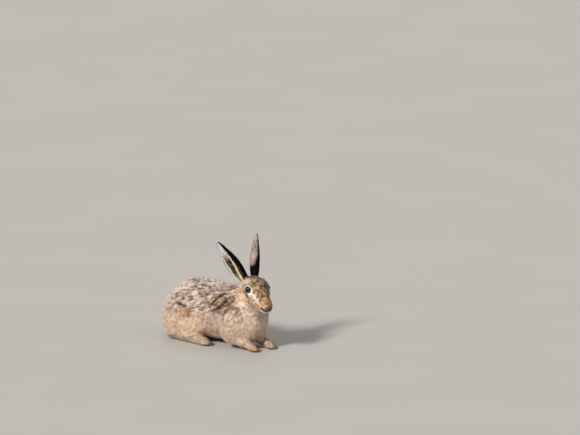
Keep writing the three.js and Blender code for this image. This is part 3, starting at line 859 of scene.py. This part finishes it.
def new_material(name, roughness, specular, sheen=0.0, gloss=0.0):
    """A material with its node tree and its shader."""
    material = bpy.data.materials.new(name)
    material.use_nodes = True
    tree = material.node_tree
    shader = tree.nodes["Principled BSDF"]
    shader.inputs["Roughness"].default_value = roughness
    shader.inputs["Specular IOR Level"].default_value = specular
    shader.inputs["Sheen Weight"].default_value = sheen
    shader.inputs["Coat Weight"].default_value = gloss
    shader.inputs["Coat Roughness"].default_value = 0.04
    return material, tree, shader


def shader_node(tree, kind, output, inputs, **settings):
    """The output of a new node, whose inputs are numbers or the outputs of other nodes."""
    made = tree.nodes.new("ShaderNode" + kind)
    for name, value in settings.items():
        setattr(made, name, value)
    for name, value in inputs.items():
        if isinstance(value, bpy.types.NodeSocket):
            tree.links.new(value, made.inputs[name])
        else:
            made.inputs[name].default_value = value
    return made.outputs[output]


def noise_node(tree, scale, detail=3.0, vector=None):
    vector = vector or shader_node(tree, "NewGeometry", "Position", {})
    return shader_node(tree, "TexNoise", "Fac", {"Scale": scale, "Detail": detail, "Vector": vector})


def range_node(tree, value, low, high, to_low, to_high):
    return shader_node(tree, "MapRange", "Result", {
        "Value": value, "From Min": low, "From Max": high, "To Min": to_low, "To Max": to_high})


def scaled_colour(tree, colour, factor):
    return shader_node(tree, "VectorMath", "Vector", {0: colour, "Scale": factor},
                       operation="SCALE")


def bump_node(tree, height, distance, strength):
    return shader_node(tree, "Bump", "Normal", {
        "Distance": distance, "Strength": strength, "Height": height})


def ramp_node(tree, value, stops):
    """Colours by a value, from a list of values with their colours."""
    colour = shader_node(tree, "ValToRGB", "Color", {"Fac": value})
    elements = colour.node.color_ramp.elements
    for element, (place, code) in zip(elements, (stops[0], stops[-1])):
        element.position, element.color = place, (*paint(code), 1)
    for place, code in stops[1:-1]:
        elements.new(place).color = (*paint(code), 1)
    return colour


def fur_material(name, low, high, roughness=0.62, bump=0.0, specular=0.2, sheen=0.1):
    """Takes its colour from the markings, a little lighter and darker from lock to lock."""
    material, tree, shader = new_material(name, roughness, specular, sheen=sheen)
    marked = shader_node(tree, "Attribute", "Color", {}, attribute_name="fur")
    shade = range_node(tree, noise_node(tree, 420), 0.3, 0.7, low, high)
    tree.links.new(scaled_colour(tree, marked, shade), shader.inputs["Base Color"])
    if bump:
        hairs = bump_node(tree, noise_node(tree, 900, 5), 0.0006, bump)
        tree.links.new(hairs, shader.inputs["Normal"])
    return material


def plain_material(name, dark, light, scale, roughness, specular, gloss=0.0, bump=0.0):
    """Two colours in fine cloudy patches."""
    material, tree, shader = new_material(name, roughness, specular, gloss=gloss)
    clouds = noise_node(tree, scale)
    colour = ramp_node(tree, clouds, [(0.35, dark), (0.65, light)])
    tree.links.new(colour, shader.inputs["Base Color"])
    if bump:
        tree.links.new(bump_node(tree, clouds, 0.0004, bump), shader.inputs["Normal"])
    return material


# The eye's colours by the angle from its axis, in radians: pupil, iris and its dark border
IRIS = [(0.0, "010101"), (0.43, "010101"), (0.46, "2e1a08"), (0.5, "a87426"), (0.56, "7c531e"),
        (0.65, "2e1d10"), (0.78, "110b07"), (0.92, "040303")]


def eye_material():
    material, tree, shader = new_material("eye", 0.04, 0.3)
    gaze = shader_node(tree, "Attribute", "Vector", {}, attribute_name="gaze")
    angle = shader_node(tree, "SeparateXYZ", "X", {"Vector": gaze})
    high = angle.node.outputs["Z"]
    along = shader_node(tree, "VectorMath", "Vector", {0: gaze, 1: (3, 24, 24)},
                        operation="MULTIPLY")
    threads = range_node(tree, noise_node(tree, 1.0, 4, along), 0.3, 0.7, 0.55, 1.35)
    # Painted shadow: the iris is darkened toward its top, as if the upper lid shaded it.
    painted_lid_shadow = range_node(tree, high, -0.1, 0.8, 1.0, 0.3)
    shaded = scaled_colour(tree, ramp_node(tree, angle, IRIS), threads)
    tree.links.new(scaled_colour(tree, shaded, painted_lid_shadow), shader.inputs["Base Color"])
    return material


MATERIALS = {
    "skin": fur_material("skin", 0.7, 1.15, 0.8, bump=0.6),
    "coat": fur_material("coat", 0.78, 1.2),
    "face_coat": fur_material("face_coat", 0.86, 1.1),
    "ear_coat": fur_material("ear_coat", 0.85, 1.1, specular=0.06, sheen=0),
    "tail_coat": fur_material("tail_coat", 0.86, 1.1),
    "foot_coat": fur_material("foot_coat", 0.82, 1.12),
    "lid": plain_material("lid", "140e0c", "33231b", 900, 0.35, 0.4, gloss=0.3, bump=0.4),
    "claw": plain_material("claw", "241a15", "4a382b", 500, 0.35, 0.5, gloss=0.2, bump=0.3),
    "whisker": plain_material("whisker", "d8cfc2", "f4efe6", 60, 0.4, 0.5),
    "lash": plain_material("lash", "120d0b", "241a16", 60, 0.5, 0.4),
    "eye": eye_material(),
}

# Ears: the side, the root and the tip in the head's frame, how deep the leaf is rolled for its
# width, how far its middle stands back, and how much narrower its black part is

# The right ear's black part is wider than the left's. That is painted shade on its outer face, which
# lies in shade.
EARS = {
    "left": (1, (-97, 10, -1.5), (-205, 54, 47.4), 0.8, 3.7, 0.28),
    "right": (-1, (-98, -10, -0.5), (-200, -56, 38), 1.15, -0.5, 0),
}
# At a distance from root (0) to tip (1): half the leaf's width, the angles to its rear and front
# margins from the middle of its back, in degrees, and its thickness with its coat
LEAF = np.array([
    [0, 8.5, 150, 150, 5], [0.12, 10.2, 148, 148, 4.6], [0.22, 12.7, 128, 136, 3.4],
    [0.34, 14.6, 112, 122, 2.5], [0.5, 15.2, 104, 114, 2.1], [0.66, 13, 99, 106, 1.9],
    [0.8, 10, 92, 98, 1.7], [0.9, 8.2, 86, 88, 1.5], [0.96, 6, 80, 80, 1.3],
    [1, 3, 72, 72, 0.9]])
EAR_COAT = 0.55  # on each face of the leaf
EAR_LENGTH = 122
EAR_REACH = 0.975  # the end of the leaf is blunt
STATIONS, ACROSS = 70, 30
WIDEST = 100  # more than the leaf is wide, laid flat
# Tufts of the outer face, of the inner one and of the margins: whether they stand on the outer
# face, how many grow on a square millimetre or along a millimetre, their length and their margin
EAR_TUFTS = [(True, 2.6, 8.5, None), (False, 1.4, 7, None), (True, 10, 8, 0.99), (True, 10, 7, 0.01)]


def leaf_at(t):
    """The leaf's measures at each t, with the corners of the table rounded off."""
    t = np.clip(t, 0, 1)
    near = [np.clip(t + step, 0, 1) for step in (-0.03, 0, 0.03)]
    return [np.mean([np.interp(x, LEAF[:, 0], LEAF[:, n]) for x in near], 0) for n in (1, 2, 3, 4)]


def ear_places(ear, t, q, out):
    """Points of an ear. q runs from the rear margin (0) to the front one (1), and out from the
    inner face (0) to the outer one (1) or beyond."""
    side, root, tip, depth, bow, _ = ear
    t = EAR_REACH * np.asarray(t)
    root, tip = np.array(root, float), np.array(tip, float)
    along = unit(tip - root)
    opening = unit(np.array([0, side, 0]) - along * along[1] * side)
    front = np.cross(opening, along) * side
    half, rear, fore, thick = leaf_at(t)
    angle = np.radians(-rear + (rear + fore) * q)
    thin = 1 - 0.35 * np.abs(2 * q - 1) ** 6
    shell = np.maximum(thick - 2 * EAR_COAT, 0.5) * thin
    ribs = 0.25 * np.sin(q * 26) * smooth_step(0.05, 0.4, 1 - t) * (1 - np.clip(out, 0, 1))
    radius = half - EAR_COAT - shell * (1 - out) + ribs
    flare = 1 + 0.26 * np.where(angle < 0, angle / np.radians(rear), 0) ** 2
    bowed = bow * np.sin(math.pi * np.clip(t, 0, 1))
    centre = root + np.outer(t, tip - root) - np.outer(bowed, front)
    inside = centre - opening * (depth * radius * flare * np.cos(angle))[:, None] \
        + front * (radius * flare * np.sin(angle))[:, None]
    return from_head(inside)


# Marks on the outer and the inner face, by the distance along the ear and across it
OUTER_EAR = [
    mark("front", (0.55, 1.06), (0.75, 0.47), 0.12, 1, "0a0808", 0),
    mark("front", (0.3, 1.0), (0.26, 0.56), 0.16, 1, "0a0808", 0),
    # Painted shadow: black over the root of each ear's outer face, as the shadow one ear casts on
    # the other.
    mark("ear", (0.06, 0.7), (0.24, 0.7), 0.16, 1, "0a0808", 0),
    mark("ear", (1.04, 0.55), (0.08, 0.8), 0.25, 1, "080607", 0),
    mark("front", (0.12, 0.95), (0.22, 0.07), 0.6, 0.5, "6e4c33", 0),
    mark("ear", (0.5, 0), (0.4, 0.05), 0.5, 1, "f6f0e9", 0),
    mark("front", (0.31, 1), (0.4, 0.03), 0.5, 0.9, "d8c0a2", 0),
]
INNER_EAR = [
    # Pale near the tip: partly the inner face's own colour and partly painted light.
    mark("ear", (0.86, 0.45), (0.22, 0.8), 0.5, 0.95, "ccc9cf", 0.1),
    mark("ear", (0.05, 0.5), (0.18, 0.5), 0.5, 0.8, "8a7565", 0.1),
    mark("ear", (0.02, 0), (0.2, 0.2), 0.5, 1, "e0c5a2", 0),
    mark("ear", (0.52, 0), (0.36, 0.035), 0.5, 1, "fbf7f1", 0),
    mark("ear", (0.28, 1), (0.46, 0.08), 0.5, 1, "dcc5a6", 0),
    mark("ear", (1.04, 0.5), (0.06, 0.8), 0.25, 1, "0d0b0c", 0),
]
# The inner face's dark base colour is partly its own and partly painted shade of the rolled leaf's
# hollow.
OUTER_BASE, INNER_BASE = (*paint("a8948a"), 0.45, 0), (*paint("40352e"), 0.4, 0)


def leaf_noise(along, across, size, seed):
    return noise(np.stack([along, across, along * 0], 1), size, seed)


def ear_marks(ear, t, q, outer):
    ragged = leaf_noise(t * 60, q * 12, 3, 31)
    there = np.stack([t + 0.015 * ragged, q + 0.02 * ragged], 1)
    # The front frame is shifted by how much narrower each ear's black part is. The right ear's wider
    # black is painted shade.
    at = {"ear": there, "front": there - (0, ear[-1])}
    return laid_on(OUTER_BASE, OUTER_EAR, at) if outer else laid_on(INNER_BASE, INNER_EAR, at)


def ear_shell(ear):
    """The leaf as one closed surface, and the colour of its markings."""
    q = np.linspace(0, 1, ACROSS)
    loop_q = np.concatenate([q, [1.012], q[::-1], [-0.012]])
    loop_out = np.concatenate([np.ones(ACROSS), [0.5], np.zeros(ACROSS), [0.5]])
    around = len(loop_q)
    t = np.repeat(np.linspace(0, 1, STATIONS), around)
    q, out = np.tile(loop_q, STATIONS), np.tile(loop_out, STATIONS)
    points = ear_places(ear, t, q, out)
    outer = np.r_[around - 1, :ACROSS + 1]
    inner = np.r_[around - 1, 2 * ACROSS:ACROSS - 1:-1]
    caps = np.concatenate([np.stack([outer[1:-1], inner[1:-1], inner[2:]], 1),
                           np.stack([outer[:-2], inner[1:-1], outer[1:-1]], 1)])
    faces = np.concatenate([
        tube_faces(STATIONS, around), caps, caps[:, ::-1] + (STATIONS - 1) * around])
    if ear[0] > 0:
        faces = faces[:, ::-1]
    marks = np.where(out[:, None] > 0.25, ear_marks(ear, t, q.clip(0, 1), True),
                     ear_marks(ear, t, q.clip(0, 1), False))
    return points, faces, marks


def ear_tufts(ear, outer, per_mm, length, edge, column, rng):
    """Short hairs on one face of an ear, or along its margin at q = edge."""
    tries = int(per_mm * SHARE_GROWN * EAR_LENGTH * (WIDEST if edge is None else 1))
    t, q = rng.random((2, tries))
    if edge is None:
        half, rear, fore, _ = leaf_at(t)
        wide = 0.9 * half * np.radians(rear + fore)
        kept = rng.random(tries) < wide / WIDEST
        t, q = t[kept], q[kept]
    else:
        q = edge + rng.normal(0, 0.006, tries)
    kept = t > 0.03
    t, q = t[kept], q[kept]
    count = len(t)
    step = length / EAR_LENGTH * rng.uniform(0.7, 1.25, count) * (1 - 0.45 * t)
    level, lift = (1.0, 1.0) if outer else (0.0, -1.0)
    shell = np.maximum(leaf_at(t)[3] - 2 * EAR_COAT, 0.5)
    rise = lift * EAR_COAT * rng.uniform(0.7, 1.3, count) / shell
    sunk = -lift * 0.15 / shell
    turn = rng.normal(0, 0.012, count) + 0.02 * leaf_noise(t * 120, q * 40, 9, 33)
    if edge is not None:
        turn += np.sign(edge - 0.5) * rng.uniform(0.0, 0.05, count)
    root = ear_places(ear, t, q, level + sunk)
    ahead = ear_places(ear, t + 0.02, q, np.full(count, level))
    up = unit(ear_places(ear, t, q, level + lift * 0.5) - root)
    tip = ear_places(ear, np.minimum(t + step, 1.0), q + turn, level + rise)
    side = unit(np.cross(up, unit(ahead - root)))
    width = 0.55 * rng.uniform(0.7, 1.3, (count, 1))
    marks = ear_marks(ear, t, q.clip(0, 1), outer)
    colours = tuft_colours((marks, root), (marks, root), rng.normal(0, 0.5, count), rng)
    uv = np.stack([(column + 0.05 + 0.9 * q) / len(EAR_TUFTS), 0.01 + 0.98 * t], 1)
    return tuft_arrays(root, None, tip, side, up, None, width, colours, uv, False)


# Eyes, lids and lashes

EYE_SIDES = 72
CORNEA, CORNEA_REACH = 0.6, 0.62  # how far it stands out, and its reach in radians
LASHES = 34  # on each eye
# What tapers: its radius, how blunt its tip is, the power of its taper, its steps and its sides
LASH, WHISKER, CLAW = (0.1, 1.05, 1, 5, 3), (0.11, 1.04, 0.8, 14, 5), (1.7, 1.03, 0.6, 9, 10)


def seated(points, faces, side):
    """An eye's part in its place. Its frame mirrors it on the left, so its faces turn there."""
    return from_eye(points, (1, side, 1)), faces[:, ::-1] if side > 0 else faces


def eyeball(side):
    points, faces = ball(64, EYE_SIDES)
    polar = np.arccos(points[:, 2].clip(-1, 1))
    cornea = CORNEA * np.exp(-(polar / CORNEA_REACH) ** 4)
    gaze = np.column_stack([polar, unit(points[:, :2])])
    return *seated(points * (EYE_RADIUS + cornea)[:, None], faces, side), gaze


def lid_rim(turn, out):
    """Points on the edge of the lids at a height over the eyeball, by the turn round the eye."""
    way = np.stack([np.cos(turn), np.sin(turn)], 1)
    flat = way / across_lids(way)[:, None] / EYE_RADIUS
    depth = np.sqrt(1 - (flat ** 2).sum(1))
    return np.column_stack([flat, depth]) * (EYE_RADIUS + out)


def swept(path, radii, sides=8, closed=False):
    """A round tube along a path, closed in a ring or tapering shut at its two ends."""
    ahead = np.roll(path, -1, 0) - np.roll(path, 1, 0)
    if not closed:
        ahead[0], ahead[-1] = path[1] - path[0], path[-1] - path[-2]
    ahead = unit(ahead)
    side = unit(np.cross(ahead, ahead.mean(0) + (0.31, 0.17, 0.93)))
    up = np.cross(ahead, side)
    turn = np.arange(sides) * 2 * math.pi / sides
    radii = np.broadcast_to(radii, len(path))[:, None, None]
    points = path[:, None] + radii * (
        side[:, None] * np.cos(turn)[:, None] + up[:, None] * np.sin(turn)[:, None])
    points, faces = points.reshape(-1, 3), tube_faces(len(path), sides, closed)
    if not closed:
        n = np.arange(sides)
        after, end, last = (n + 1) % sides, np.full(sides, len(points)), (len(path) - 1) * sides
        faces = np.concatenate([faces, np.stack([end, after, n], 1),
                                np.stack([end + 1, n + last, after + last], 1)])
        points = np.concatenate([points, path[:1], path[-1:]])
    return points, faces


def tapered(start, along, bend, shape):
    """A hair or a claw, which leaves its start in one direction and bends toward another."""
    radius, blunt, power, count, sides = shape
    steps = np.linspace(0, 1, count)[:, None]
    return swept(start + along * steps + bend * steps ** 2,
                 radius * (blunt - steps[:, 0]) ** power, sides)


def lids(side):
    turn = np.arange(EYE_SIDES) * 2 * math.pi / EYE_SIDES
    rim = lid_rim(turn, 0.35)
    thick = 0.42 + 0.22 * np.sin(turn).clip(0) + 0.3 * np.exp(-((turn - 6.1) / 0.25) ** 2)
    return seated(*swept(rim, thick, 10, closed=True), side)


def lashes(side, rng):
    """Short dark hairs along the upper lid."""
    made = []
    for turn in rng.uniform(0.5, 2.7, LASHES):
        start = lid_rim(np.array([turn]), 0.7)[0]
        out = unit(start * (1, 1, 0.35) + (-2.2, 3.0, 0) + rng.normal(0, 0.8, 3))
        bend = np.array([-1.4, 0.6, -0.9])
        made.append(tapered(start, out * rng.uniform(2, 3.6), bend, LASH))
    return seated(*joined(made), side)


# Whiskers: rows on the pads of the upper lip, and a few over each eye

ROOT_DEPTH = 1.5


def leaving(tree, start, way):
    """Where a ray from inside the head comes out of it, in the head's frame."""
    hit = tree.ray_cast(Vector(from_head(start)), Vector(unit(np.array(way)) @ HEAD))[0]
    return to_head(np.array(hit)[None])[0]


def whiskers(tree, side, rng):
    """Each from a place in the head, outward to the skin, and then in its own direction."""
    hairs = [((-11 - 3.4 * n, 4 * side, 0.5 - 3.2 * row), (0.15 - 0.06 * n, side, -0.1),
              (0.42 - 0.2 * n, side, 0.1 - 0.16 * row), (38, 62), 1 - 0.05 * abs(n - 3), 12)
             for row in range(3) for n in range(4)]
    hairs += [((-57 - 5 * n, 12 * side, 14), (0, 0.7 * side, 1),
               (0.25 - 0.2 * n, 0.9 * side, 0.9), (24, 34), 1, 5) for n in range(3)]
    made = []
    for inside, out, way, reach, share, drop in hairs:
        start = leaving(tree, inside, out)
        way = unit(np.array(way) + rng.normal(0, 0.07, 3))
        along = way * rng.uniform(*reach) * share @ HEAD
        bend = np.array([-0.35, 0, -0.8]) * drop @ HEAD
        made.append(tapered(from_head(start - ROOT_DEPTH * way), along, bend, WHISKER))
    return joined(made)


# Claws

FEET = {  # how many claws, how far apart, how far back their toes fall, and their height
    "forefoot": (4, 6.4, 2.4, 4.6),
    "hindfoot": (4, 7.0, 2.4, 6.0),
}
CLAW_LENGTH = 10


def claws_of(foot, name):
    count, spread, back, high = FEET[foot]
    low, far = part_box(f"{foot}_{name}")
    tip_x, middle_y = far[0] / MM, (low[1] + far[1]) / 2 / MM
    along, bend = np.array([CLAW_LENGTH, 0, 0]), np.array([0, 0, 1.0 - high])
    made = []
    for n in range(count):
        out = n - (count - 1) / 2
        reach = tip_x - back * (out * out - 0.25)
        start = np.array([reach - CLAW_LENGTH, middle_y + out * spread, high])
        made.append(tapered(start, along, bend, CLAW))
    return made


# The hare

# Where the coat of the torso and of the head is cut into pieces, along the hare and the head
TORSO_CUTS, HEAD_CUTS = (-85, -15, 50), (-52,)


def dress():
    points, faces = skin_surface()
    skin = (points, faces, normals_at(points, faces))
    tree = BVHTree.FromPolygons(points.tolist(), faces.tolist())

    shells = [ear_shell(ear) for ear in EARS.values()]
    marks = markings_at(points)
    under = mixed(marks[:, :3] * UNDER_COAT, BLACK, 0.8 * ticking(points, marks).clip(0))
    colours = np.concatenate([under] + [shell[2][:, :3] * UNDER_EARS for shell in shells])
    make_piece("skin", *joined([(points, faces)] + [shell[:2] for shell in shells]),
               MATERIALS["skin"], "coat", [*FLESH, "ear_left", "ear_right"], colours=colours)

    solids = [solid_of(node) for node in FLESH]
    owners = np.repeat(np.arange(len(FLESH)), [len(solid[1]) for solid in solids])
    around = BVHTree.FromPolygons(*(part.tolist() for part in joined(solids)))
    centre = points[faces].mean(1)
    owner = np.array([owners[around.find_nearest(c)[2]] for c in centre.tolist()])
    cuts = {"torso": (centre[:, 0], TORSO_CUTS), "head": (to_head(centre)[:, 0], HEAD_CUTS)}
    for number, node in enumerate(FLESH):
        slot = "foot_coat" if "foot" in node else \
            "tail_coat" if node == "tail" else "coat"
        material = MATERIALS["face_coat" if node == "head" else slot]
        along, ends = cuts.get(node, (centre[:, 0], ()))
        band = np.searchsorted(ends, along, "right")
        for n in range(len(ends) + 1):
            name = f"coat_{node}_{n}" if ends else f"coat_{node}"
            chosen = (owner == number) & (band == n)
            grow(name, slot, material, tree, skin, chosen, 10 * number + n)

    rng = np.random.default_rng(SEED)
    for name, ear in EARS.items():
        kinds = [ear_tufts(ear, *kind, column, rng) for column, kind in enumerate(EAR_TUFTS)]
        coat_piece("coat_ear_" + name, "ear_coat", MATERIALS["ear_coat"], kinds)

    for name, (side, *_) in EARS.items():
        ball_points, ball_faces, gaze = eyeball(side)
        make_piece("eyeball_" + name, ball_points, ball_faces, MATERIALS["eye"], "eye",
                   ["eye_" + name], gaze=gaze)
        make_piece("lids_" + name, *lids(side), MATERIALS["lid"], "nose")
        make_piece("lashes_" + name, *lashes(side, rng), MATERIALS["lash"], "whisker")
        make_piece("whiskers_" + name, *whiskers(tree, side, rng), MATERIALS["whisker"], "whisker")
    claws = [claw for foot in FEET for name in EARS for claw in claws_of(foot, name)]
    make_piece("claws", *joined(claws), MATERIALS["claw"], "claw")


# Studio

FLOOR_RADIUS, FLOOR_SIDES, FLOOR_COLOURS = 8, 96, ("b4b1ac", "b6b3ae")
# The azimuth and height of each lamp in degrees, its strength, its width and its colour
LAMPS = [
    ("key", 8, 33, 3.55, 12, (1, 0.975, 0.94)),
    ("fill", 100, 35, 0.1, 40, (0.97, 0.98, 1)),
    ("rim", 225, 40, 0.5, 30, (1, 1, 1)),
]
SKY_COLOUR, SKY_STRENGTH = (0.95, 0.94, 0.93, 1), 0.42


def floor():
    n = np.arange(FLOOR_SIDES)
    turn = n * 2 * math.pi / FLOOR_SIDES
    rim = np.stack([np.cos(turn), np.sin(turn), turn * 0], 1) * FLOOR_RADIUS
    faces = np.stack([np.full(FLOOR_SIDES, FLOOR_SIDES), n, (n + 1) % FLOOR_SIDES], 1)
    made = placed("floor", make_mesh("floor", np.vstack([rim, [0, 0, 0]]), faces))
    made.data.materials.append(plain_material("floor", *FLOOR_COLOURS, 3, 0.9, 0.1))


def seen_at(azimuth, height):
    """The direction of what stands at this azimuth and height, in degrees."""
    a, e = math.radians(azimuth), math.radians(height)
    return np.array([math.sin(a) * math.cos(e), -math.cos(a) * math.cos(e), math.sin(e)])


def turn_from(holder, back):
    """Turns a lamp or a camera so that it faces away from `back`."""
    holder.rotation_mode = "QUATERNION"
    holder.rotation_quaternion = Vector(back).to_track_quat("Z", "Y")


def sun(name, azimuth, height, strength, width, colour):
    """A soft lamp that shines from this azimuth, measured like the camera's, and height."""
    lamp = bpy.data.lights.new(name, "SUN")
    lamp.energy, lamp.angle, lamp.color = strength, math.radians(width), colour
    turn_from(placed(name, lamp), seen_at(azimuth, height))


def studio():
    floor()
    for lamp in LAMPS:
        sun(*lamp)
    world = bpy.data.worlds.new("studio")
    world.use_nodes = True
    sky = world.node_tree.nodes["Background"]
    sky.inputs["Color"].default_value = SKY_COLOUR
    sky.inputs["Strength"].default_value = SKY_STRENGTH
    bpy.context.scene.world = world
    bpy.context.scene.view_settings.view_transform = "Standard"


def camera():
    """Looks at the hare as the photograph does, with the tip of its nose at its pixel."""
    back = seen_at(CAMERA_AZIMUTH, CAMERA_HEIGHT)
    right = unit(np.cross(UP, back))
    up = np.cross(back, right)
    aim = NOSE + PIXEL * ((FRAME_WIDE / 2 - NOSE_PIXEL[0]) * right
                          + (NOSE_PIXEL[1] - FRAME_HIGH / 2) * up)
    made = bpy.data.cameras.new("camera")
    made.lens, made.sensor_width = LENS, SENSOR
    made.clip_start, made.clip_end = 1, 100
    holder = placed("camera", made)
    holder.location = (aim + back * PIXEL * FRAME_WIDE * LENS / SENSOR) * MM
    turn_from(holder, back)
    bpy.context.scene.camera = holder


camera()
studio()
dress()
